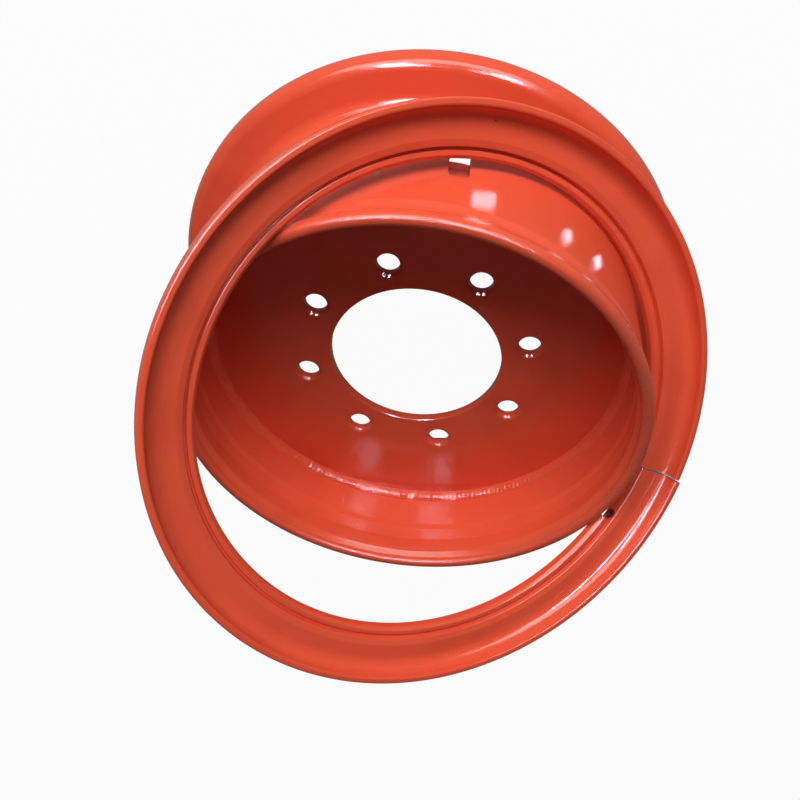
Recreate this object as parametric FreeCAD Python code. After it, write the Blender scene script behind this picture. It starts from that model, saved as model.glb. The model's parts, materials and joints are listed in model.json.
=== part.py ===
"""Two-piece steel wheel: a flat-base rim with a welded disc and a split side ring.

The wheel lies on its fixed flange with its axis along Z and its open front up.
The origin is the centre of the hub bore on the disc's mounting (back) face, and
the valve slot faces -Y.  The split side ring is off its gutter: it leans on the
rim, with its low side against the barrel and its flanks on the front lip.
Sizes are in millimetres and degrees.
"""
import FreeCAD
import Part
import math
import os

# Disc
hub_bore_r = 76.2
bolt_circle_r = 101.6
bolt_hole_r = 9.8
bolt_count = 8
bolt_seat_width = 2.5
bolt_seat_depth = 2.0
disc_thickness = 8.0
edge_chamfer = 1.0
disc_fit_gap = 0.2

# Rim base
seat_r = 193.7
rim_wall = 7.5
flange_height = 39.8
flange_curl_depth = 18.5
flange_curl_r = 11.0
bead_heel_r = 12.0
front_reach = 92.0
back_reach = 97.0
edge_round = 2.0

# Gutter and front lip
gutter_depth = 2.0
gutter_width = 9.0
gutter_ramp = 5.0
lip_height = 5.8
lip_width = 10.0
lip_thickness = 9.9
lip_nose_r = 4.4
lip_rise = 4.0
soft_corner_r = 4.0

# Inside of the rim behind the lip: bulge, relief and the bevel up to the barrel
bulge_height = 3.3
bulge_bevel_drop = 5.5
bulge_drop = 12.0
relief_depth = 1.5
relief_front_drop = 28.0
relief_back_drop = 41.0
relief_bevel = 4.5
relief_corner_r = 2.5

# Valve slot
slot_width = 16.0
slot_length = 60.0
slot_front_z = 25.5
slot_corner_r = 5.0

# Weld beads
weld_leg = 6.0
weld_rise = 8.5
weld_crown = 1.2
weld_prep = 2.0

# Split side ring, in its own frame: outer edge at height 0, tyre side below
ring_depth = 28.0
ring_toe_gap = 0.3
ring_toe_height = 6.5
ring_ridge_width = 3.6
ring_ridge_drop = 18.5
ring_groove_depth = 2.3
ring_groove_width = 2.6
ring_face_drop = 14.0
ring_crest_width = 5.2
ring_trough_dip = 1.8
ring_edge_thickness = 6.0
ring_wall = 8.5
ring_curl_r = 13.0
ring_heel_width = 11.0

# Split, pry notch and sprung end of the ring
split_angle = 164.3
split_gap = 1.6
notch_span = 16.4
sprung_span = 60.0
sprung_offset = 2.4

# How the ring leans on the rim
ring_tilt = 36.0
ring_low_azimuth = -129.4
ring_rest_gap = 0.2

# Sizes that follow from those above
Z_AXIS = FreeCAD.Vector(0, 0, 1)
ORIGIN = FreeCAD.Vector(0, 0, 0)
barrel_r = seat_r - rim_wall
flange_r = seat_r + flange_height
flange_face_z = -back_reach + flange_curl_depth
gutter_r = seat_r - gutter_depth
lip_r = gutter_r + lip_height
lip_in_r = lip_r - lip_thickness
bulge_r = lip_in_r - bulge_height
relief_r = barrel_r + relief_depth
crest_top_z = front_reach - lip_nose_r
lip_back_z = front_reach - lip_width
gutter_front_z = lip_back_z - lip_rise
gutter_back_z = gutter_front_z - gutter_width
toe_r = gutter_r + ring_toe_gap


def corner_arc(before, corner, after, radius):
    """Return the two tangent points and the middle of an arc that rounds a corner."""
    to_before = (before - corner).normalize()
    to_after = (after - corner).normalize()
    half_angle = to_before.getAngle(to_after) / 2
    bisector = (to_before + to_after).normalize()
    reach = radius / math.tan(half_angle)
    middle = corner + bisector * (radius / math.sin(half_angle) - radius)
    return corner + to_before * reach, middle, corner + to_after * reach


def section_face(outline):
    """Make a face in the XZ plane from (radius, height, corner radius) points."""
    corners = [FreeCAD.Vector(r, 0, z) for r, z, _ in outline]
    edges = []
    first_point = None
    last_point = None
    for i, (_, _, radius) in enumerate(outline):
        before = corners[i - 1]
        after = corners[(i + 1) % len(corners)]
        if radius > 0:
            start, middle, end = corner_arc(before, corners[i], after, radius)
        else:
            start = end = corners[i]
        if last_point is None:
            first_point = start
        else:
            edges.append(Part.makeLine(last_point, start))
        if radius > 0:
            edges.append(Part.Arc(start, middle, end).toShape())
        last_point = end
    edges.append(Part.makeLine(last_point, first_point))
    return Part.Face(Part.Wire(edges))


def make_rim_base():
    """Roll the barrel with its fixed flange, gutter and front lip as one section."""
    flange_in_r = flange_r - rim_wall
    back_face_z = flange_face_z - rim_wall
    outline = [
        (flange_in_r, -back_reach, edge_round),
        (flange_r, -back_reach, edge_round),
        (flange_r, flange_face_z, flange_curl_r),
        (seat_r, flange_face_z, bead_heel_r),
        (seat_r, gutter_back_z - gutter_ramp, soft_corner_r),
        (gutter_r, gutter_back_z, soft_corner_r),
        (gutter_r, gutter_front_z, soft_corner_r),
        (lip_r, lip_back_z, soft_corner_r),
        (lip_r, front_reach, lip_nose_r),
        (lip_in_r, front_reach, lip_nose_r),
        (lip_in_r, front_reach - bulge_bevel_drop, soft_corner_r),
        (bulge_r, front_reach - bulge_drop, soft_corner_r),
        (relief_r, front_reach - relief_front_drop, soft_corner_r),
        (relief_r, front_reach - relief_back_drop, relief_corner_r),
        (barrel_r, front_reach - relief_back_drop - relief_bevel, relief_corner_r),
        (barrel_r, back_face_z, bead_heel_r + rim_wall),
        (flange_in_r, back_face_z, flange_curl_r - rim_wall),
    ]
    rim = section_face(outline).revolve(ORIGIN, Z_AXIS, 360)
    return rim.cut(make_valve_slot())


def make_valve_slot():
    """Make the tool that cuts the valve slot through the barrel on its -Y side."""
    tool = Part.makeBox(slot_width, 3 * rim_wall, slot_length)
    upright = [edge for edge in tool.Edges if abs(edge.tangentAt(edge.FirstParameter).y) > 0.9]
    tool = tool.makeFillet(slot_corner_r, upright)
    tool.translate(FreeCAD.Vector(-slot_width / 2, -barrel_r - 2 * rim_wall, slot_front_z - slot_length))
    return tool


def make_disc():
    """Turn the flat disc with its bore and weld bevels, and drill the seated bolt holes."""
    rim_edge_r = barrel_r - disc_fit_gap
    flat_r = barrel_r - weld_leg
    bevel = weld_prep * (1 - disc_fit_gap / weld_leg)
    disc = section_face([
        (hub_bore_r, 0, 0),
        (flat_r, 0, 0),
        (rim_edge_r, bevel, 0),
        (rim_edge_r, disc_thickness - bevel, 0),
        (flat_r, disc_thickness, 0),
        (hub_bore_r + edge_chamfer, disc_thickness, 0),
        (hub_bore_r, disc_thickness - edge_chamfer, 0),
    ]).revolve(ORIGIN, Z_AXIS, 360)
    for i in range(bolt_count):
        angle = math.radians(360.0 / bolt_count * (i + 0.5))
        hole = make_bolt_hole()
        hole.translate(FreeCAD.Vector(math.cos(angle), math.sin(angle), 0) * bolt_circle_r)
        disc = disc.cut(hole)
    return disc


def make_bolt_hole():
    """Make a tool for a bolt hole with a coned nut seat at the front."""
    hole = Part.makeCylinder(bolt_hole_r, disc_thickness)
    seat_z = FreeCAD.Vector(0, 0, disc_thickness - bolt_seat_depth)
    return hole.fuse(Part.makeCone(bolt_hole_r, bolt_hole_r + bolt_seat_width, bolt_seat_depth, seat_z))


def make_weld(face_z, side):
    """Run a convex bead between the barrel and the beveled edge of a face of the disc."""
    root = FreeCAD.Vector(barrel_r, 0, face_z - side * weld_prep)
    disc_toe = FreeCAD.Vector(barrel_r - weld_leg, 0, face_z)
    wall_toe = FreeCAD.Vector(barrel_r, 0, face_z + side * weld_rise)
    outward = FreeCAD.Vector(-weld_rise, 0, side * weld_leg).normalize()
    crown = (disc_toe + wall_toe) * 0.5 + outward * weld_crown
    edges = [
        Part.makeLine(root, disc_toe),
        Part.Arc(disc_toe, crown, wall_toe).toShape(),
        Part.makeLine(wall_toe, root),
    ]
    return Part.Face(Part.Wire(edges)).revolve(ORIGIN, Z_AXIS, 360)


def ring_section():
    """Draw the ring's section: toe, locking ridge, groove, dished face, curled edge."""
    ridge_in_r = toe_r + ring_groove_depth
    ridge_out_r = ridge_in_r + ring_ridge_width
    groove_out_r = ridge_out_r + ring_groove_width
    crest_r = groove_out_r + ring_crest_width
    edge_in_r = flange_r - ring_edge_thickness
    trough_r = (crest_r + edge_in_r) / 2
    groove_z = -ring_ridge_drop - ring_groove_depth
    tyre_face_z = -ring_face_drop - ring_wall
    heel_r = toe_r + ring_heel_width
    return section_face([
        (toe_r, -ring_depth, 0),
        (toe_r, -ring_depth + ring_toe_height, 0.5),
        (ridge_in_r, -ring_ridge_drop, 1.0),
        (ridge_out_r, -ring_ridge_drop, 0.8),
        (ridge_out_r + 0.5, groove_z, 0.6),
        (groove_out_r - 0.5, groove_z, 0.6),
        (groove_out_r, -ring_face_drop - ring_trough_dip, 1.0),
        (crest_r, -ring_face_drop, 3.0),
        (trough_r, -ring_face_drop - ring_trough_dip, 8.0),
        (edge_in_r, -ring_face_drop, soft_corner_r),
        (edge_in_r, 0, edge_round),
        (flange_r, 0, edge_round),
        (flange_r, tyre_face_z, ring_curl_r),
        (heel_r + ring_wall / 2, tyre_face_z, soft_corner_r / 2),
        (heel_r, -ring_depth, edge_round),
    ])


def make_side_ring():
    """Revolve the split ring about its own axis, with a sprung end and a pry notch."""
    gap_angle = math.degrees(split_gap / toe_r)
    sprung_start = split_angle + 360 - sprung_span
    plain_span = 360 - gap_angle - sprung_span
    section = ring_section()
    plain = section.copy()
    plain.rotate(ORIGIN, Z_AXIS, split_angle + gap_angle)
    ring = plain.revolve(ORIGIN, Z_AXIS, plain_span)
    shift = sprung_offset / (1 - math.cos(math.radians(sprung_span)))
    start_angle = math.radians(sprung_start)
    centre = FreeCAD.Vector(math.cos(start_angle), math.sin(start_angle), 0) * -shift
    tail = section.copy()
    tail.rotate(ORIGIN, Z_AXIS, sprung_start)
    tail = tail.revolve(centre, Z_AXIS, sprung_span)
    notch_r = toe_r + ring_groove_depth + ring_ridge_width + ring_groove_width + sprung_offset
    notch = Part.makeCylinder(notch_r, ring_depth, FreeCAD.Vector(0, 0, -ring_depth), Z_AXIS, 2 * notch_span)
    notch.rotate(ORIGIN, Z_AXIS, split_angle - notch_span)
    ring = ring.fuse(tail.cut(notch))
    return ring.removeSplitter()


def ring_placement():
    """Lean the ring on the rim: its toe edge touches the barrel and the lip's crest."""
    tilt = math.radians(ring_tilt)
    azimuth = math.radians(ring_low_azimuth)
    low_side = FreeCAD.Vector(math.cos(azimuth), math.sin(azimuth), 0)
    slide = seat_r + ring_rest_gap - toe_r * math.cos(tilt)
    reach = lip_r + ring_rest_gap
    across = slide * math.cos(tilt)
    under_root = across ** 2 - math.sin(tilt) ** 2 * (reach ** 2 - toe_r ** 2 - slide ** 2)
    flank_sine = (across - math.sqrt(max(under_root, 0))) / (toe_r * math.sin(tilt) ** 2)
    toe_height = crest_top_z + toe_r * flank_sine * math.sin(tilt)
    ring_axis = Z_AXIS * math.cos(tilt) + low_side * math.sin(tilt)
    centre = low_side * slide + Z_AXIS * toe_height + ring_axis * ring_depth
    lean_axis = Z_AXIS.cross(low_side)
    turn = FreeCAD.Rotation(lean_axis, ring_tilt)
    return FreeCAD.Placement(centre, turn)


def main():
    """Build every piece and write one STEP file for each."""
    side_ring = make_side_ring()
    side_ring.Placement = ring_placement().multiply(side_ring.Placement)
    pieces = {
        "rim_base": make_rim_base(),
        "wheel_disc": make_disc(),
        "front_weld": make_weld(disc_thickness, 1),
        "back_weld": make_weld(0.0, -1),
        "side_ring": side_ring,
    }
    os.makedirs("parts", exist_ok=True)
    for name, shape in pieces.items():
        shape.exportStep(os.path.join("parts", name + ".step"))


main()
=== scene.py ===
"""Painted steel wheel with its split side ring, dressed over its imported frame.

Laid out as an add-on: settings, one operator for each piece, a stage and a panel.
Lengths are in metres, in the wheel's own frame: the axis is Z, the open front is
up, the origin is the hub bore's centre on the mounting face, the valve slot is at -Y.
"""
import json
import math

import bmesh
import bpy
from bpy.props import FloatProperty, FloatVectorProperty, IntProperty, PointerProperty
from bpy.types import Operator, Panel, PropertyGroup
from mathutils import Matrix, Vector, noise


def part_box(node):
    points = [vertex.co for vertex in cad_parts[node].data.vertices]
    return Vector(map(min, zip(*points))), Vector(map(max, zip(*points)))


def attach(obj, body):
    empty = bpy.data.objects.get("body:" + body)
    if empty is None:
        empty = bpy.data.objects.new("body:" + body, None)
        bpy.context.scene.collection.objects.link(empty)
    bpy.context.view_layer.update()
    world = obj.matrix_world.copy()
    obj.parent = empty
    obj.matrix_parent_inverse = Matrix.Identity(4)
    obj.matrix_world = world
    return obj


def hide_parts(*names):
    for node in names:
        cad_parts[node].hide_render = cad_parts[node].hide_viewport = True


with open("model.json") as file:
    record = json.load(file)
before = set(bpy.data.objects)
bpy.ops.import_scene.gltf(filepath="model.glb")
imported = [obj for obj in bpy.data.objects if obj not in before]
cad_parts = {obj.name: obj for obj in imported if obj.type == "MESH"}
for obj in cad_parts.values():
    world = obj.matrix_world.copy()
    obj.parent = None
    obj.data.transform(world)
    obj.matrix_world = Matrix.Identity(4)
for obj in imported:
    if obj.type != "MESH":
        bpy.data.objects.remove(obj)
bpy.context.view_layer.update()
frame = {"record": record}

bl_info = {
    "name": "Painted steel wheel",
    "version": (1, 0, 0),
    "blender": (4, 5, 0),
    "location": "View3D > Sidebar > Wheel",
    "description": "Models a flat-base steel wheel with a split side ring, painted orange-red",
    "category": "Add Mesh",
}

MOUNTS = {mount["name"]: mount for mount in frame["record"]["mounts"]}
SEAT_R = MOUNTS["tyre_seat"]["dims"]["r_mm"] / 1000
HUB_BORE_R = MOUNTS["hub_bore"]["dims"]["r_mm"] / 1000
BOLT_CIRCLE_R = MOUNTS["bolt_circle"]["dims"]["pcd_mm"] / 2000
BOLT_HOLE_R = MOUNTS["bolt_circle"]["dims"]["hole_r_mm"] / 1000
BOLT_COUNT = MOUNTS["bolt_circle"]["dims"]["count"]
FLOOR_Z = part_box("rim_base")[0].z
FRONT_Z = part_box("rim_base")[1].z
FLANGE_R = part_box("rim_base")[1].x
DISC_FRONT_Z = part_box("wheel_disc")[1].z
DISC_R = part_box("wheel_disc")[1].x
WELD_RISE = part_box("front_weld")[1].z - DISC_FRONT_Z
LUMP_OFFSETS = (-0.14, -0.05, 0.03, 0.06)
LUMP_SPREAD = 0.018
RUB_PLACE = (0.060, -0.184, 0.020)


def length(label, metres, note):
    """A setting that holds a length."""
    return FloatProperty(name=label, description=note, default=metres, unit="LENGTH")


def turn(label, degrees, note):
    """A setting that holds an angle."""
    return FloatProperty(name=label, description=note, default=math.radians(degrees), subtype="ANGLE")


def share(label, value, note):
    """A setting that holds a plain number."""
    return FloatProperty(name=label, description=note, default=value, subtype="FACTOR")


def colour(label, value, note):
    """A setting that holds a linear colour."""
    return FloatVectorProperty(name=label, description=note, default=value, size=4, subtype="COLOR")


class RimSettings(PropertyGroup):
    """Sizes of the rolled rim base and its valve slot."""

    wall: length("Wall", 0.0075, "Thickness of the rolled barrel and flange")
    curl_depth: length("Curl depth", 0.0185, "How far the flange curls back from its face")
    curl_round: length("Curl round", 0.011, "Outer radius of the flange's curl")
    heel_round: length("Heel round", 0.012, "Fillet between the flange and the seat")
    edge_round: length("Edge round", 0.002, "Rounding of cut edges")
    soft_round: length("Soft round", 0.004, "Rounding of rolled bends")
    gutter_depth: length("Gutter depth", 0.002, "Depth of the gutter below the seat")
    gutter_width: length("Gutter width", 0.009, "Width of the gutter's floor")
    gutter_ramp: length("Gutter ramp", 0.005, "Length of the ramp into the gutter")
    lip_height: length("Lip height", 0.0058, "Height of the lip above the gutter's floor")
    lip_width: length("Lip width", 0.010, "Width of the lip along the axis")
    lip_thickness: length("Lip thickness", 0.0099, "Thickness of the lip across its nose")
    lip_nose: length("Lip nose", 0.0044, "Rounding of the lip's nose")
    lip_rise: length("Lip rise", 0.004, "Length of the slope from the gutter to the lip")
    bulge_height: length("Bulge height", 0.0033, "How far the rim bulges inwards behind the lip")
    bulge_bevel_drop: length("Bulge bevel drop", 0.0055, "Depth of the bulge's bevel below the front")
    bulge_drop: length("Bulge drop", 0.012, "Depth of the bulge below the front")
    relief_depth: length("Relief depth", 0.0015, "Depth of the relief inside the rim")
    relief_front_drop: length("Relief front drop", 0.028, "Depth of the relief's front end")
    relief_back_drop: length("Relief back drop", 0.041, "Depth of the relief's back end")
    relief_bevel: length("Relief bevel", 0.0045, "Length of the bevel from the relief to the barrel")
    relief_round: length("Relief round", 0.0025, "Rounding of the relief's corners")
    slot_width: length("Slot width", 0.016, "Width of the valve slot")
    slot_length: length("Slot length", 0.060, "Length of the valve slot")
    slot_front: length("Slot front", 0.0255, "Height of the valve slot's front end")
    slot_round: length("Slot round", 0.005, "Rounding of the valve slot's corners")
    steps: IntProperty(name="Steps", description="Faces round the rim", default=320)


class DiscSettings(PropertyGroup):
    """Finish of the disc and of the weld beads that hold it."""

    bore_ease: length("Bore ease", 0.001, "Chamfer of the hub bore's front edge")
    seat_width: length("Seat width", 0.0025, "Width of the coned nut seats")
    seat_depth: length("Seat depth", 0.002, "Depth of the coned nut seats")
    edge_ease: length("Edge ease", 0.0005, "Rounding of the hole edges under the paint")
    bead_leg: length("Bead leg", 0.006, "Width of a weld bead on the disc")
    bead_prep: length("Bead bevel", 0.002, "Depth of the disc's weld bevel")
    bead_crown: length("Bead crown", 0.0012, "Height of a weld bead above a flat fillet")
    ripple_pitch: length("Ripple pitch", 0.0046, "Distance between the ripples of a weld")
    ripple_height: length("Ripple height", 0.0003, "Height of the ripples of a weld")
    lump_height: length("Lump height", 0.0012, "Height of the lumps where a weld starts and stops")
    lump_azimuth: turn("Lump azimuth", 104, "Direction of the weld's lumps, seen from the axis")
    swell_height: length("Swell height", 0.0007, "Height of a weld's slow swell")
    swell_length: length("Swell length", 0.022, "Length of a weld's slow swell")
    grain_height: length("Grain height", 0.00035, "Height of a weld's fine grain")
    grain_length: length("Grain length", 0.004, "Length of a weld's fine grain")
    wander: length("Wander", 0.0006, "How far a weld's edges wander")
    wander_length: length("Wander length", 0.012, "Length over which a weld's edges wander")
    disc_steps: IntProperty(name="Disc steps", description="Faces round the disc", default=256)
    hole_steps: IntProperty(name="Hole steps", description="Faces round a bolt hole", default=64)
    bead_steps: IntProperty(name="Bead steps", description="Faces round a weld bead", default=1440)
    bead_facets: IntProperty(name="Bead facets", description="Faces across a weld bead", default=12)


class RingSettings(PropertyGroup):
    """Sizes of the split side ring and the way it leans."""

    depth: length("Depth", 0.028, "Depth from the curled edge to the toe")
    toe_gap: length("Toe gap", 0.0003, "Room between the toe and the gutter's floor")
    toe_height: length("Toe height", 0.0065, "Height of the toe's inner wall")
    ridge_width: length("Ridge width", 0.0036, "Width of the locking ridge")
    ridge_drop: length("Ridge drop", 0.0185, "Depth of the ridge below the curled edge")
    groove_depth: length("Groove depth", 0.0023, "Depth of the groove beside the ridge")
    groove_width: length("Groove width", 0.0026, "Width of the groove beside the ridge")
    face_drop: length("Face drop", 0.014, "Depth of the face below the curled edge")
    crest_width: length("Crest width", 0.0052, "Width of the slope from groove to face")
    crest_height: length("Crest height", 0.0018, "Height of the slope from groove to face")
    trough_dip: length("Trough dip", 0.0003, "How far the face is dished")
    trough_round: length("Trough round", 0.010, "Fillet between the face and the curled edge")
    edge_thickness: length("Edge thickness", 0.006, "Thickness of the curled edge")
    wall: length("Wall", 0.0085, "Thickness of the ring behind its face")
    curl_round: length("Curl round", 0.013, "Outer radius of the curl")
    heel_width: length("Heel width", 0.011, "Width of the toe's back")
    toe_round: length("Toe round", 0.0006, "Rounding of the toe and of the groove's foot")
    ridge_round: length("Ridge round", 0.001, "Rounding of the ridge's and the groove's inner edge")
    ridge_back_round: length("Ridge back round", 0.0008, "Rounding of the ridge's outer edge")
    groove_draft: length("Groove draft", 0.0005, "How far the groove's walls lean")
    crest_round: length("Crest round", 0.003, "Rounding between the slope and the face")
    dip_round: length("Dip round", 0.008, "Rounding of the dished face")
    split: turn("Split", 164.3, "Direction of the cut in the ring's own frame")
    split_gap: length("Split gap", 0.0016, "Width of the cut")
    notch: turn("Notch", 16.4, "Span of the pry notch beside the cut")
    chip_offset: length("Chip offset", 0.005, "Distance of the chipped paint from the toe's end")
    sprung: turn("Sprung", 60, "Span of the end that springs outwards")
    sprung_offset: length("Sprung offset", 0.0024, "How far that end stands out")
    tilt: turn("Tilt", 36, "Lean of the ring from the wheel's axis")
    low_azimuth: turn("Low azimuth", -129.4, "Direction of the ring's low side")
    rest_gap: length("Rest gap", 0.0002, "Room left where the ring touches the rim")
    steps: IntProperty(name="Steps", description="Faces round the ring", default=360)


class PaintSettings(PropertyGroup):
    """Colours and texture of the finishes."""

    paint: colour("Paint", (0.80, 0.098, 0.044, 1), "Orange-red sprayed paint")
    thin_paint: colour("Thin paint", (0.66, 0.072, 0.030, 1), "Paint where the coat is thin or deep")
    dusty_paint: colour("Dusty paint", (0.50, 0.100, 0.062, 1), "Paint dulled on the ground lip")
    scuff: colour("Scuff", (0.30, 0.24, 0.21, 1), "Grey rub marks")
    speck: colour("Speck", (0.03, 0.015, 0.012, 1), "Dark specks in the paint")
    # Steel and scale also darken the ring's cut ends, as painted shade in the narrow cut.
    steel: colour("Steel", (0.42, 0.40, 0.38, 1), "Bare steel on the ring's cut ends")
    scale: colour("Scale", (0.020, 0.018, 0.017, 1), "Black scale on the bare steel")
    roughness: share("Roughness", 0.11, "Roughness of the paint's skin")
    peel_size: length("Peel size", 0.0018, "Size of the orange-peel waves")
    peel_height: length("Peel height", 0.00011, "Height of the orange-peel waves")
    grit_height: length("Grit height", 0.00002, "Height of the fine grit")
    cloud_size: length("Cloud size", 0.05, "Size of the patches of thin paint")
    haze_size: length("Haze size", 0.018, "Size of the patches of dull and bright skin")
    speck_spacing: length("Speck spacing", 0.045, "Distance between the dark specks")


class StageSettings(PropertyGroup):
    """Camera, lamps and floor."""

    camera_place: FloatVectorProperty(
        name="Camera", description="Place of the camera", subtype="XYZ", unit="LENGTH",
        default=(0.0257, -0.4971, 0.5738),
    )
    camera_ahead: FloatVectorProperty(
        name="Ahead", description="Direction that the camera looks in", subtype="DIRECTION",
        default=(-0.0256, 0.6971, -0.7165),
    )
    camera_up: FloatVectorProperty(
        name="Up", description="Direction of the picture's top", subtype="DIRECTION",
        default=(0.1922, -0.6979, -0.6900),
    )
    lens: FloatProperty(name="Lens", description="Focal length in millimetres", default=38.03)
    floor: colour("Floor", (0.30, 0.30, 0.30, 1), "Colour of the floor")
    floor_glow: share("Floor glow", 0.96, "Share of the floor that stays white under a shadow")
    floor_mirror: share("Floor mirror", 0.15, "Share of the floor's white that the paint mirrors")
    key_watts: FloatProperty(
        name="Key", description="Power of the key lamp", default=49, unit="POWER",
    )
    window_glow: FloatProperty(
        name="Windows", description="Brightness of the mirrored windows", default=100,
    )
    card_glow: FloatProperty(name="Cards", description="Brightness of the mirrored cards", default=8)
    daylight: FloatVectorProperty(
        name="Daylight", description="Tint of the mirrored windows", subtype="COLOR",
        default=(0.84, 0.84, 1.0),
    )
    sky: FloatProperty(name="Sky", description="Strength of the even light", default=0.08)


def deselect():
    """Leave edit mode and deselect every object."""
    if bpy.context.mode != "OBJECT":
        bpy.ops.object.mode_set(mode="OBJECT")
    bpy.ops.object.select_all(action="DESELECT")


def finish_piece(piece, node, smooth_degrees=32):
    """Smooth a piece and let it stand for its node on the frame's only body."""
    deselect()
    piece.select_set(True)
    bpy.context.view_layer.objects.active = piece
    bpy.ops.object.transform_apply(location=True, rotation=True, scale=True)
    bpy.ops.object.shade_smooth_by_angle(angle=math.radians(smooth_degrees))
    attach(piece, "root")
    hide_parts(node)


def close_mesh():
    """Merge the seam of the mesh in edit mode and point its faces outwards."""
    bpy.ops.mesh.select_all(action="SELECT")
    bpy.ops.mesh.remove_doubles(threshold=1e-6)
    bpy.ops.mesh.normals_make_consistent(inside=False)


def apply_boolean(piece, cutter):
    """Cut one object out of another and delete the cutter."""
    deselect()
    piece.select_set(True)
    bpy.context.view_layer.objects.active = piece
    cut = piece.modifiers.new("cut", "BOOLEAN")
    cut.object = cutter
    cut.operation = "DIFFERENCE"
    cut.solver = "EXACT"
    bpy.ops.object.modifier_apply(modifier=cut.name)
    bpy.data.objects.remove(cutter)


def nearest_vertex(mesh, point):
    """The vertex of an edit mesh that lies nearest to a point."""
    return min(mesh.verts, key=lambda vertex: (vertex.co - point).length_squared)


def select_only(mesh, vertices):
    """Select these vertices of an edit mesh and nothing else."""
    bpy.ops.mesh.select_all(action="DESELECT")
    for vertex in vertices:
        vertex.select = True
    mesh.select_flush_mode()


def round_corner(piece, before, corner, after, radius):
    """Bevel one corner of a section to an arc of this radius."""
    half_angle = (before - corner).angle(after - corner) / 2
    bend = math.pi - 2 * half_angle
    mesh = bmesh.from_edit_mesh(piece.data)
    select_only(mesh, [nearest_vertex(mesh, corner)])
    bmesh.update_edit_mesh(piece.data)
    segments = max(3, round(math.degrees(bend) / 9))
    bpy.ops.mesh.bevel(
        offset=radius / math.tan(half_angle), offset_type="OFFSET", segments=segments, affect="VERTICES"
    )


def draw_section(name, corners):
    """Draw a closed section face in the XZ plane from (radius, height, rounding) corners."""
    deselect()
    bpy.ops.mesh.primitive_circle_add(vertices=len(corners), fill_type="NGON", enter_editmode=True)
    piece = bpy.context.object
    piece.name = name
    points = [Vector((radius, 0, height)) for radius, height, _ in corners]
    bpy.ops.mesh.select_mode(type="VERT")
    mesh = bmesh.from_edit_mesh(piece.data)
    for vertex, point in zip(mesh.verts, points):
        vertex.co = point
    bmesh.update_edit_mesh(piece.data)
    for i, (_, _, radius) in enumerate(corners):
        if radius > 0:
            round_corner(piece, points[i - 1], points[i], points[(i + 1) % len(points)], radius)
    return piece


def spin_round(steps, angle, centre=(0, 0, 0)):
    """Spin what is selected anticlockwise about an upright axis."""
    bpy.ops.mesh.spin(steps=steps, angle=-angle, center=centre, axis=(0, 0, 1))


def spin_full(steps):
    """Spin the outline of a section all the way round and close it."""
    bpy.ops.mesh.select_all(action="SELECT")
    bpy.ops.mesh.delete(type="ONLY_FACE")
    bpy.ops.mesh.select_all(action="SELECT")
    spin_round(steps, 2 * math.pi)
    close_mesh()


def rim_levels(rim):
    """Radii and heights that the rim's section and the ring's rest share."""
    gutter_r = SEAT_R - rim.gutter_depth
    lip_r = gutter_r + rim.lip_height
    gutter_front = FRONT_Z - rim.lip_width - rim.lip_rise
    return gutter_r, lip_r, gutter_front, gutter_front - rim.gutter_width


def add_node(tree, kind, **inputs):
    """Add a shader node and set its named inputs."""
    node = tree.nodes.new(kind)
    for name, value in inputs.items():
        node.inputs[name.replace("_", " ")].default_value = value
    return node


def add_math(tree, operation, first, second=None):
    """Add a math node; its operands are sockets or numbers."""
    node = tree.nodes.new("ShaderNodeMath")
    node.operation = operation
    for socket, value in zip(node.inputs, (first, second)):
        if value is None:
            continue
        if isinstance(value, (int, float)):
            socket.default_value = value
        else:
            tree.links.new(value, socket)
    return node.outputs[0]


def add_noise(tree, coords, size, detail=2.0, rough=0.5):
    """Add a noise of a given feature size in metres and return its value."""
    node = add_node(tree, "ShaderNodeTexNoise", Scale=1 / size, Detail=detail, Roughness=rough)
    tree.links.new(coords, node.inputs["Vector"])
    return node.outputs["Fac"]


def add_range(tree, value, low, high, to_low=0.0, to_high=1.0):
    """Map a value smoothly from one range to another."""
    node = tree.nodes.new("ShaderNodeMapRange")
    node.interpolation_type = "SMOOTHSTEP"
    tree.links.new(value, node.inputs["Value"])
    for name, number in zip(("From Min", "From Max", "To Min", "To Max"), (low, high, to_low, to_high)):
        node.inputs[name].default_value = number
    return node.outputs["Result"]


def add_mix(tree, fac, first, second):
    """Mix two colours; each is a socket or a colour value."""
    node = tree.nodes.new("ShaderNodeMix")
    node.data_type = "RGBA"
    tree.links.new(fac, node.inputs["Factor"])
    for socket, value in ((node.inputs[6], first), (node.inputs[7], second)):
        if isinstance(value, bpy.types.NodeSocket):
            tree.links.new(value, socket)
        else:
            socket.default_value = value
    return node.outputs[2]


def add_bump(tree, height, distance, below=None):
    """Add a bump of a given height in metres on top of another."""
    node = add_node(tree, "ShaderNodeBump", Strength=1.0, Distance=distance)
    tree.links.new(height, node.inputs["Height"])
    if below is not None:
        tree.links.new(below, node.inputs["Normal"])
    return node.outputs["Normal"]


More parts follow.
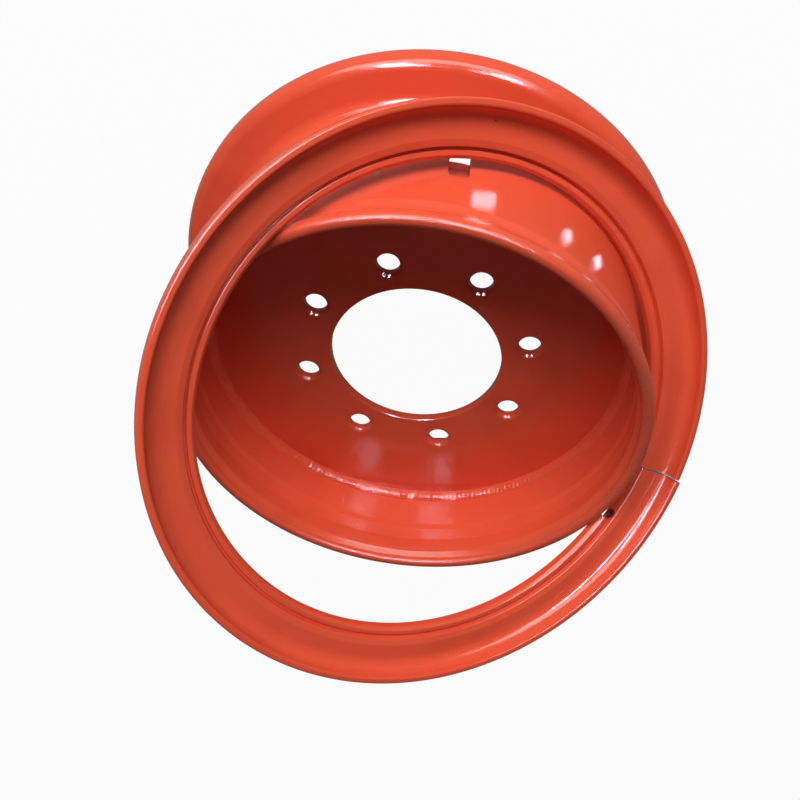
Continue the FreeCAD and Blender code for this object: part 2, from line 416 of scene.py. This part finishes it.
class PaintCoat:
    """A material of sprayed paint that is built up in layers."""

    def __init__(self, name, paint):
        """Start with the plain coat: shade, orange peel and fine grit."""
        self.paint = paint
        self.material = bpy.data.materials.new(name)
        self.material.use_nodes = True
        self.tree = self.material.node_tree
        self.shader = self.tree.nodes["Principled BSDF"]
        self.shader.inputs["Specular IOR Level"].default_value = 0.4
        self.coords = self.tree.nodes.new("ShaderNodeTexCoord").outputs["Object"]
        split = self.tree.nodes.new("ShaderNodeSeparateXYZ")
        self.tree.links.new(self.coords, split.inputs[0])
        self.x = split.outputs["X"]
        self.z = split.outputs["Z"]
        clouds = add_noise(self.tree, self.coords, paint.cloud_size, detail=4)
        thin = add_range(self.tree, clouds, 0.45, 0.75, 0.0, 0.35)
        self.colour = add_mix(self.tree, thin, tuple(paint.paint), tuple(paint.thin_paint))
        haze = add_noise(self.tree, self.coords, paint.haze_size, detail=5, rough=0.65)
        bright, dim = paint.roughness - 0.03, paint.roughness + 0.07
        self.roughness = add_range(self.tree, haze, 0.3, 0.75, bright, dim)
        peel = add_noise(self.tree, self.coords, paint.peel_size, detail=1)
        grit = add_noise(self.tree, self.coords, paint.peel_size / 5, detail=2, rough=0.7)
        self.normal = add_bump(self.tree, peel, paint.peel_height)
        self.normal = add_bump(self.tree, grit, paint.grit_height, self.normal)

    def dull(self, mask, tint, roughness):
        """Lay a dull tint where the mask is set."""
        self.colour = add_mix(self.tree, mask, self.colour, tint)
        node = self.tree.nodes.new("ShaderNodeMix")
        self.tree.links.new(mask, node.inputs["Factor"])
        self.tree.links.new(self.roughness, node.inputs[2])
        node.inputs[3].default_value = roughness
        self.roughness = node.outputs[0]

    def roughen(self, size, height, mask=None):
        """Add rough bumps all over, or where a mask is set."""
        bumps = add_noise(self.tree, self.coords, size, detail=4, rough=0.7)
        if mask is not None:
            bumps = add_math(self.tree, "MULTIPLY", bumps, mask)
        self.normal = add_bump(self.tree, bumps, height, self.normal)

    def near(self, place, core, reach):
        """A mask that fades from a core to its reach about a place."""
        node = self.tree.nodes.new("ShaderNodeVectorMath")
        node.operation = "DISTANCE"
        self.tree.links.new(self.coords, node.inputs[0])
        node.inputs[1].default_value = place
        return add_range(self.tree, node.outputs["Value"], core, reach, 1.0, 0.0)

    def specks(self):
        """Sprinkle a few small dark specks."""
        cells = add_node(self.tree, "ShaderNodeTexVoronoi", Scale=1 / self.paint.speck_spacing)
        self.tree.links.new(self.coords, cells.inputs["Vector"])
        dot = add_range(self.tree, cells.outputs["Distance"], 0.012, 0.022, 1.0, 0.0)
        self.dull(dot, tuple(self.paint.speck), 0.6)

    def done(self):
        """Connect the layers to the shader and return the material."""
        self.tree.links.new(self.colour, self.shader.inputs["Base Color"])
        self.tree.links.new(self.roughness, self.shader.inputs["Roughness"])
        self.tree.links.new(self.normal, self.shader.inputs["Normal"])
        return self.material


def rim_paint(settings):
    """Paint of the rim: dull and rough on the ground lip, with specks and a rub mark."""
    coat = PaintCoat("rim_paint", settings.paint)
    lip_mask = add_range(coat.tree, coat.z, FRONT_Z - 0.012, FRONT_Z - 0.004)
    patchy = add_noise(coat.tree, coat.coords, 0.02, detail=4)
    dust = add_range(coat.tree, patchy, 0.3, 0.7, 0.15, 0.55)
    lip_dust = add_math(coat.tree, "MULTIPLY", lip_mask, dust)
    dusty_side = add_range(coat.tree, coat.x, -0.15, -0.07, 1.0, 0.1)
    dusty = add_math(coat.tree, "MULTIPLY", lip_dust, dusty_side)
    coat.dull(dusty, tuple(settings.paint.dusty_paint), 0.45)
    coat.roughen(0.0024, 0.0003, lip_mask)
    smear = add_range(coat.tree, add_noise(coat.tree, coat.coords, 0.006, detail=4), 0.42, 0.62)
    rub = add_math(coat.tree, "MULTIPLY", coat.near(RUB_PLACE, 0.003, 0.016), smear)
    coat.dull(rub, tuple(settings.paint.scuff), 0.5)
    coat.specks()
    return coat.done()


def disc_paint(settings):
    """Paint of the disc."""
    coat = PaintCoat("disc_paint", settings.paint)
    coat.specks()
    return coat.done()


def bead_paint(settings):
    """Paint over the weld beads, rougher than on plate."""
    coat = PaintCoat("bead_paint", settings.paint)
    coat.roughen(0.0015, 0.0002)
    return coat.done()


def ring_paint(settings, chipped):
    """Paint of the side ring, chipped to black scale at one place."""
    coat = PaintCoat("ring_paint", settings.paint)
    flakes = add_range(coat.tree, add_noise(coat.tree, coat.coords, 0.003, detail=4), 0.34, 0.5)
    chips = add_math(coat.tree, "MULTIPLY", coat.near(tuple(chipped), 0.005, 0.008), flakes)
    coat.dull(chips, tuple(settings.paint.scale), 0.3)
    coat.roughen(0.002, 0.0005, coat.near(tuple(chipped), 0.006, 0.012))
    coat.specks()
    return coat.done()


def bare_steel_and_cut_shade(settings):
    """Steel with black scale on the ring's cut ends; its darkness there is also painted shade for the
    narrow cut.
    """
    coat = PaintCoat("bare_steel_and_cut_shade", settings.paint)
    patches = add_range(coat.tree, add_noise(coat.tree, coat.coords, 0.002, detail=5), 0.46, 0.62)
    coat.colour = add_mix(coat.tree, patches, tuple(settings.paint.scale), tuple(settings.paint.steel))
    coat.shader.inputs["Metallic"].default_value = 0.8
    coat.roughen(0.0015, 0.0005)
    return coat.done()


class WHEEL_OT_rim_base(Operator):
    """Roll the rim base with its flange, gutter and lip, and cut the valve slot"""

    bl_idname = "mesh.wheel_rim_base"
    bl_label = "Rim base"

    def execute(self, context):
        settings = context.scene.wheel
        rim = settings.rim
        piece = draw_section("rim_base_rolled", self.section(rim))
        spin_full(rim.steps)
        apply_boolean(piece, self.slot_cutter(rim))
        piece.data.materials.append(rim_paint(settings))
        finish_piece(piece, "rim_base")
        return {"FINISHED"}

    def section(self, rim):
        """Corners of the rolled section, from the flange's curled edge to the lip and back."""
        gutter_r, lip_r, gutter_front, gutter_back = rim_levels(rim)
        barrel_r = SEAT_R - rim.wall
        flange_in = FLANGE_R - rim.wall
        face_z = FLOOR_Z + rim.curl_depth
        lip_in = lip_r - rim.lip_thickness
        bulge_r = lip_in - rim.bulge_height
        relief_r = barrel_r + rim.relief_depth
        relief_back = FRONT_Z - rim.relief_back_drop
        return [
            (flange_in, FLOOR_Z, rim.edge_round),
            (FLANGE_R, FLOOR_Z, rim.edge_round),
            (FLANGE_R, face_z, rim.curl_round),
            (SEAT_R, face_z, rim.heel_round),
            (SEAT_R, gutter_back - rim.gutter_ramp, rim.soft_round),
            (gutter_r, gutter_back, rim.soft_round),
            (gutter_r, gutter_front, rim.soft_round),
            (lip_r, FRONT_Z - rim.lip_width, rim.soft_round),
            (lip_r, FRONT_Z, rim.lip_nose),
            (lip_in, FRONT_Z, rim.lip_nose),
            (lip_in, FRONT_Z - rim.bulge_bevel_drop, rim.soft_round),
            (bulge_r, FRONT_Z - rim.bulge_drop, rim.soft_round),
            (relief_r, FRONT_Z - rim.relief_front_drop, rim.soft_round),
            (relief_r, relief_back, rim.relief_round),
            (barrel_r, relief_back - rim.relief_bevel, rim.relief_round),
            (barrel_r, face_z - rim.wall, rim.heel_round + rim.wall),
            (flange_in, face_z - rim.wall, rim.curl_round - rim.wall),
        ]

    def slot_cutter(self, rim):
        """Make the rounded block that cuts the valve slot."""
        deselect()
        middle = (0, -SEAT_R + rim.wall / 2, rim.slot_front - rim.slot_length / 2)
        bpy.ops.mesh.primitive_cube_add(
            size=1, location=middle, scale=(rim.slot_width, 3 * rim.wall, rim.slot_length)
        )
        cutter = bpy.context.object
        bpy.ops.object.transform_apply(location=True, rotation=True, scale=True)
        bpy.ops.object.mode_set(mode="EDIT")
        bpy.ops.mesh.select_all(action="DESELECT")
        bpy.ops.mesh.select_mode(type="EDGE")
        mesh = bmesh.from_edit_mesh(cutter.data)
        for edge in mesh.edges:
            if abs(edge.verts[0].co.y - edge.verts[1].co.y) > rim.wall:
                edge.select_set(True)
        bmesh.update_edit_mesh(cutter.data)
        bpy.ops.mesh.bevel(offset=rim.slot_round, offset_type="OFFSET", segments=6, affect="EDGES")
        bpy.ops.object.mode_set(mode="OBJECT")
        return cutter


class WHEEL_OT_disc(Operator):
    """Cut the flat disc with its hub bore and bolt holes"""

    bl_idname = "mesh.wheel_disc"
    bl_label = "Disc"

    def execute(self, context):
        settings = context.scene.wheel
        piece = draw_section("wheel_disc_plate", self.section(settings))
        spin_full(settings.disc.disc_steps)
        apply_boolean(piece, self.hole_cutters(settings.disc))
        ease = piece.modifiers.new("ease", "BEVEL")
        ease.width = settings.disc.edge_ease
        ease.segments = 2
        ease.limit_method = "ANGLE"
        bpy.ops.object.modifier_apply(modifier=ease.name)
        piece.data.materials.append(disc_paint(settings))
        finish_piece(piece, "wheel_disc")
        return {"FINISHED"}

    def section(self, settings):
        """Corners of the plate from the hub bore to its beveled edge."""
        disc = settings.disc
        flat_r = SEAT_R - settings.rim.wall - disc.bead_leg
        bevel = disc.bead_prep * (DISC_R - flat_r) / disc.bead_leg
        return [
            (HUB_BORE_R, 0, 0),
            (flat_r, 0, 0),
            (DISC_R, bevel, 0),
            (DISC_R, DISC_FRONT_Z - bevel, 0),
            (flat_r, DISC_FRONT_Z, 0),
            (HUB_BORE_R + disc.bore_ease, DISC_FRONT_Z, 0),
            (HUB_BORE_R, DISC_FRONT_Z - disc.bore_ease, 0),
        ]

    def hole_cutters(self, disc):
        """Turn one cutter for a bolt hole with its nut seat, and set copies round the bolt circle."""
        seat_r = BOLT_HOLE_R + disc.seat_width
        cutter = draw_section("hole_cutter", [
            (0, -DISC_FRONT_Z, 0),
            (BOLT_HOLE_R, -DISC_FRONT_Z, 0),
            (BOLT_HOLE_R, DISC_FRONT_Z - disc.seat_depth, 0),
            (seat_r, DISC_FRONT_Z, 0),
            (seat_r, 2 * DISC_FRONT_Z, 0),
            (0, 2 * DISC_FRONT_Z, 0),
        ])
        spin_full(disc.hole_steps)
        deselect()
        cutter.select_set(True)
        bpy.ops.transform.translate(value=(BOLT_CIRCLE_R, 0, 0))
        step = 2 * math.pi / BOLT_COUNT
        bpy.ops.transform.rotate(value=step / 2, orient_axis="Z", center_override=(0, 0, 0))
        cutters = [cutter]
        for _ in range(BOLT_COUNT - 1):
            bpy.ops.object.duplicate()
            bpy.ops.transform.rotate(value=step, orient_axis="Z", center_override=(0, 0, 0))
            cutters.append(bpy.context.object)
        for one in cutters:
            one.select_set(True)
        bpy.ops.object.join()
        return bpy.context.object


class WHEEL_OT_weld_beads(Operator):
    """Lay the rippled weld beads on both faces of the disc"""

    bl_idname = "mesh.wheel_weld_beads"
    bl_label = "Weld beads"

    def execute(self, context):
        settings = context.scene.wheel
        paint = bead_paint(settings)
        self.lay_bead("front_weld_bead", "front_weld", DISC_FRONT_Z, 1, settings, paint)
        self.lay_bead("back_weld_bead", "back_weld", 0.0, -1, settings, paint)
        return {"FINISHED"}

    def lay_bead(self, name, node, face_z, side, settings, paint):
        """Spin a convex fillet and ripple it as a hand-laid weld."""
        disc = settings.disc
        root_r = SEAT_R - settings.rim.wall
        slant = math.hypot(disc.bead_leg, WELD_RISE)
        corners = [(root_r, face_z - side * disc.bead_prep, 0)]
        for i in range(disc.bead_facets + 1):
            along = i / disc.bead_facets
            bulge = 4 * disc.bead_crown * along * (1 - along) / slant
            inwards = disc.bead_leg * (1 - along) + bulge * WELD_RISE
            upwards = WELD_RISE * along + bulge * disc.bead_leg
            corners.append((root_r - inwards, face_z + side * upwards, 0))
        piece = draw_section(name, corners)
        spin_full(disc.bead_steps)
        deselect()
        for vertex in piece.data.vertices:
            vertex.co = self.rippled(vertex.co, root_r, face_z, side, disc)
        piece.data.materials.append(paint)
        finish_piece(piece, node, smooth_degrees=60)

    def rippled(self, place, root_r, face_z, side, disc):
        """Move a point of the bead's skin by the weld's ripples, swell and lumps."""
        azimuth = math.atan2(place.y, place.x)
        along = azimuth * root_r
        inwards = root_r - math.hypot(place.x, place.y)
        upwards = side * (place.z - face_z)
        if upwards < -1e-6:
            return place
        across = inwards / disc.bead_leg - upwards / WELD_RISE
        middle = max(0.0, 1 - across * across)
        beat = along / disc.ripple_pitch + 0.5 * across * across
        ripple = disc.ripple_height * abs(math.sin(math.pi * beat))
        layer = face_z * 90
        swell = disc.swell_height * noise.noise(Vector((along / disc.swell_length, 2.0, layer)))
        grain_place = Vector((along / disc.grain_length, across * 2.0, 5 + layer))
        grain = disc.grain_height * noise.noise(grain_place)
        lump = 0.0
        for offset in LUMP_OFFSETS:
            away = (azimuth - disc.lump_azimuth - offset) / LUMP_SPREAD
            lump += disc.lump_height * math.exp(-away * away)
        push = (ripple + swell + grain + lump) * middle
        slant = math.hypot(disc.bead_leg, WELD_RISE)
        inwards += push * WELD_RISE / slant
        upwards += push * disc.bead_leg / slant
        wander = disc.wander * noise.noise(Vector((along / disc.wander_length, 9.0, layer)))
        inwards += wander * max(0.0, across) * (inwards > 0)
        upwards += wander * max(0.0, -across) * (upwards > 0)
        radius = root_r - inwards
        return Vector((radius * math.cos(azimuth), radius * math.sin(azimuth), face_z + side * upwards))


class WHEEL_OT_side_ring(Operator):
    """Spin the split side ring with its sprung end and pry notch, and lean it on the rim"""

    bl_idname = "mesh.wheel_side_ring"
    bl_label = "Side ring"

    def execute(self, context):
        settings = context.scene.wheel
        ring = settings.ring
        toe_r = rim_levels(settings.rim)[0] + ring.toe_gap
        gap_angle = ring.split_gap / toe_r
        piece = draw_section("side_ring_split", self.section(settings, toe_r))
        self.part_toe(piece, ring, toe_r)
        per_step = 2 * math.pi / ring.steps
        plain = 2 * math.pi - gap_angle - ring.sprung
        bpy.ops.mesh.select_all(action="SELECT")
        spin_round(round(plain / per_step), plain)
        shift = ring.sprung_offset / (1 - math.cos(ring.sprung))
        centre = (-shift * math.cos(plain), -shift * math.sin(plain), 0)
        spin_round(round((ring.sprung - ring.notch) / per_step), ring.sprung - ring.notch, centre)
        toe_end = self.leave_toe(piece)
        advance = shift * math.sin(ring.sprung) / (FLANGE_R + shift)
        spin_round(round(ring.notch / per_step), ring.notch - advance, centre)
        close_mesh()
        deselect()
        rest = self.lean(settings, toe_r) @ Matrix.Rotation(ring.split + gap_angle, 4, "Z")
        chipped = rest @ Matrix.Rotation(ring.chip_offset / toe_r, 4, "Z") @ toe_end
        piece.data.materials.append(ring_paint(settings, chipped))
        # The second material is bare steel with scale; on the cut ends it also acts as painted shade in
        # the narrow cut.
        piece.data.materials.append(bare_steel_and_cut_shade(settings))
        self.bare_and_shaded_ends(piece)
        piece.matrix_world = rest
        finish_piece(piece, "side_ring")
        return {"FINISHED"}

    def section(self, settings, toe_r):
        """Corners of the ring's section; the groove's outer corner and the last one part the toe."""
        ring = settings.ring
        ridge_in = toe_r + ring.groove_depth
        ridge_out = ridge_in + ring.ridge_width
        groove_out = ridge_out + ring.groove_width
        crest_r = groove_out + ring.crest_width
        edge_in = FLANGE_R - ring.edge_thickness
        groove_z = -ring.ridge_drop - ring.groove_depth
        tyre_face = -ring.face_drop - ring.wall
        heel_r = toe_r + ring.heel_width
        soft = settings.rim.soft_round
        edge = settings.rim.edge_round
        return [
            (toe_r, -ring.depth, ring.toe_round),
            (toe_r, -ring.depth + ring.toe_height, ring.toe_round),
            (ridge_in, -ring.ridge_drop, ring.ridge_round),
            (ridge_out, -ring.ridge_drop, ring.ridge_back_round),
            (ridge_out + ring.groove_draft, groove_z, ring.toe_round),
            (groove_out - ring.groove_draft, groove_z, 0),
            (groove_out, -ring.face_drop - ring.crest_height, ring.ridge_round),
            (crest_r, -ring.face_drop, ring.crest_round),
            ((crest_r + edge_in) / 2, -ring.face_drop - ring.trough_dip, ring.dip_round),
            (edge_in, -ring.face_drop, ring.trough_round),
            (edge_in, 0, edge),
            (FLANGE_R, 0, edge),
            (FLANGE_R, tyre_face, ring.curl_round),
            (heel_r + ring.wall / 2, tyre_face, soft / 2),
            (heel_r, -ring.depth, edge),
            (groove_out - ring.groove_draft, -ring.depth, 0),
        ]

    def part_toe(self, piece, ring, toe_r):
        """Part the section's toe and ridge from its body along an upright line."""
        groove_out = toe_r + ring.groove_depth + ring.ridge_width + ring.groove_width
        part_r = groove_out - ring.groove_draft
        groove_z = -ring.ridge_drop - ring.groove_depth
        mesh = bmesh.from_edit_mesh(piece.data)
        ends = [nearest_vertex(mesh, Vector((part_r, 0, z))) for z in (groove_z, -ring.depth)]
        select_only(mesh, ends)
        bmesh.update_edit_mesh(piece.data)
        bpy.ops.mesh.vert_connect_path()

    def leave_toe(self, piece):
        """Leave the toe's end face behind, keep only the body selected and return the end's place."""
        bpy.ops.mesh.select_mode(type="FACE")
        mesh = bmesh.from_edit_mesh(piece.data)
        ends = [face for face in mesh.faces if face.select]
        if len(ends) != 2:
            raise RuntimeError("the ring's end should have a toe face and a body face")
        toe = min(ends, key=lambda face: face.calc_area())
        toe.select = False
        end = toe.calc_center_median()
        bmesh.update_edit_mesh(piece.data)
        return end

    def bare_and_shaded_ends(self, piece):
        """Make the cut ends bare steel, dark also as painted shade in the narrow cut: they are the only
        faces with more than four corners.
        """
        for face in piece.data.polygons:
            if len(face.vertices) > 4:
                face.material_index = 1

    def lean(self, settings, toe_r):
        """The place of the ring when its toe edge rests on the barrel and the lip's crest."""
        ring = settings.ring
        lip_r = rim_levels(settings.rim)[1]
        low_side = Vector((math.cos(ring.low_azimuth), math.sin(ring.low_azimuth), 0))
        slide = SEAT_R + ring.rest_gap - toe_r * math.cos(ring.tilt)
        reach = lip_r + ring.rest_gap
        across = slide * math.cos(ring.tilt)
        under_root = across ** 2 - math.sin(ring.tilt) ** 2 * (reach ** 2 - toe_r ** 2 - slide ** 2)
        flank_sine = (across - math.sqrt(under_root)) / (toe_r * math.sin(ring.tilt) ** 2)
        toe_z = FRONT_Z - settings.rim.lip_nose + toe_r * flank_sine * math.sin(ring.tilt)
        up = Vector((0, 0, 1))
        axis = up * math.cos(ring.tilt) + low_side * math.sin(ring.tilt)
        centre = low_side * slide + up * toe_z + axis * ring.depth
        return Matrix.Translation(centre) @ Matrix.Rotation(ring.tilt, 4, up.cross(low_side))


class WHEEL_OT_stage(Operator):
    """Set the camera, the lamps, the sky and the floor"""

    bl_idname = "scene.wheel_stage"
    bl_label = "Stage"

    def execute(self, context):
        stage = context.scene.wheel.stage
        self.place_camera(context.scene, stage)
        self.lay_floor(stage)
        self.hang_lamp("key", self.key_place, self.key_size, stage.key_watts)
        self.hang_mirrored(self.windows, stage.window_glow, True, stage)
        self.hang_mirrored(self.cards, stage.card_glow, False, stage)
        self.fill_sky(context.scene, stage)
        context.scene.view_settings.view_transform = "Standard"
        return {"FINISHED"}

    key_place = (0.386, -1.814, 0.770)
    key_size = (2.4, 0.9)
    windows = (
        ("left window", (0.704, -1.325, 1.609), (0.18, 1.0), (0, 0, 0)),
        ("right window", (-0.388, -1.449, 1.609), (0.16, 1.0), (0, 0, 0)),
    )
    cards = (
        ("near card", (-0.0270, -0.2143, 0.0157), (0.0210, 0.0130), (-0.0192, -0.1927, 0.0544)),
        ("side card", (-0.1072, -0.1827, 0.0101), (0.0080, 0.0100), (-0.0841, -0.1745, 0.0478)),
        ("far card", (-0.1372, -0.1573, 0.0100), (0.0060, 0.0100), (-0.1116, -0.1584, 0.0470)),
    )

    def place_camera(self, scene, stage):
        """Look at the wheel as the photograph does."""
        data = bpy.data.cameras.new("camera")
        data.lens = stage.lens
        camera = bpy.data.objects.new("camera", data)
        scene.collection.objects.link(camera)
        ahead = Vector(stage.camera_ahead).normalized()
        right = ahead.cross(Vector(stage.camera_up)).normalized()
        up = right.cross(ahead)
        axes = Matrix((right, up, -ahead)).transposed().to_4x4()
        camera.matrix_world = Matrix.Translation(stage.camera_place) @ axes
        scene.camera = camera

    def lay_floor(self, stage):
        """Lay a pale floor that shows white and keeps a soft shadow."""
        deselect()
        bpy.ops.mesh.primitive_plane_add(size=24, location=(0, 0, FLOOR_Z))
        floor = bpy.context.object
        floor.name = "floor"
        material = bpy.data.materials.new("floor")
        material.use_nodes = True
        tree = material.node_tree
        tree.nodes.clear()
        path = tree.nodes.new("ShaderNodeLightPath")
        mirrored = add_math(tree, "MULTIPLY", path.outputs["Is Glossy Ray"], stage.floor_mirror)
        seen = add_math(tree, "MAXIMUM", path.outputs["Is Camera Ray"], mirrored)
        seen = add_math(tree, "MAXIMUM", seen, path.outputs["Is Transmission Ray"])
        fac = add_math(tree, "MULTIPLY", seen, stage.floor_glow)
        diffuse = add_node(tree, "ShaderNodeBsdfDiffuse", Color=tuple(stage.floor))
        glow = add_node(tree, "ShaderNodeEmission", Strength=1.0)
        mix = tree.nodes.new("ShaderNodeMixShader")
        output = tree.nodes.new("ShaderNodeOutputMaterial")
        tree.links.new(fac, mix.inputs[0])
        tree.links.new(diffuse.outputs[0], mix.inputs[1])
        tree.links.new(glow.outputs[0], mix.inputs[2])
        tree.links.new(mix.outputs[0], output.inputs["Surface"])
        floor.data.materials.append(material)

    def hang_lamp(self, name, place, size, watts, aim=(0, 0, 0)):
        """Hang a rectangular lamp that faces a point of the wheel."""
        data = bpy.data.lights.new(name, "AREA")
        data.shape = "RECTANGLE"
        data.size, data.size_y = size
        data.energy = watts
        lamp = bpy.data.objects.new(name, data)
        bpy.context.scene.collection.objects.link(lamp)
        lamp.location = place
        lamp.rotation_mode = "QUATERNION"
        lamp.rotation_quaternion = (Vector(aim) - Vector(place)).to_track_quat("-Z", "Y")
        return lamp

    def hang_mirrored(self, lamps, glow, shown, stage):
        """Hang lamps that the paint mirrors, without lighting it evenly."""
        for name, place, size, aim in lamps:
            lamp = self.hang_lamp(name, place, size, glow * math.pi * size[0] * size[1], aim)
            lamp.data.color = stage.daylight
            lamp.visible_diffuse = False
            lamp.visible_camera = shown

    def fill_sky(self, scene, stage):
        """Give an even pale light from all round."""
        world = bpy.data.worlds.new("sky")
        world.use_nodes = True
        world.node_tree.nodes["Background"].inputs["Color"].default_value = (1, 1, 1, 1)
        world.node_tree.nodes["Background"].inputs["Strength"].default_value = stage.sky
        scene.world = world


class WheelSettings(PropertyGroup):
    """All the wheel's settings."""

    rim: PointerProperty(type=RimSettings)
    disc: PointerProperty(type=DiscSettings)
    ring: PointerProperty(type=RingSettings)
    paint: PointerProperty(type=PaintSettings)
    stage: PointerProperty(type=StageSettings)


class WHEEL_PT_sidebar(Panel):
    """Lists the operators that build the wheel and its stage"""

    bl_idname = "WHEEL_PT_sidebar"
    bl_label = "Steel wheel"
    bl_space_type = "VIEW_3D"
    bl_region_type = "UI"
    bl_category = "Wheel"

    def draw(self, context):
        for operator in OPERATORS:
            self.layout.operator(operator.bl_idname)


GROUPS = (RimSettings, DiscSettings, RingSettings, PaintSettings, StageSettings, WheelSettings)
OPERATORS = (WHEEL_OT_rim_base, WHEEL_OT_disc, WHEEL_OT_weld_beads, WHEEL_OT_side_ring, WHEEL_OT_stage)
CLASSES = GROUPS + OPERATORS + (WHEEL_PT_sidebar,)


def register():
    """Register the classes and hang the settings on the scene."""
    for cls in CLASSES:
        bpy.utils.register_class(cls)
    bpy.types.Scene.wheel = PointerProperty(type=WheelSettings)


def unregister():
    """Remove the settings and the classes."""
    del bpy.types.Scene.wheel
    for cls in reversed(CLASSES):
        bpy.utils.unregister_class(cls)


def main():
    """Build every piece and the stage."""
    register()
    bpy.ops.mesh.wheel_rim_base()
    bpy.ops.mesh.wheel_disc()
    bpy.ops.mesh.wheel_weld_beads()
    bpy.ops.mesh.wheel_side_ring()
    bpy.ops.scene.wheel_stage()


if __name__ == "__main__":
    main()
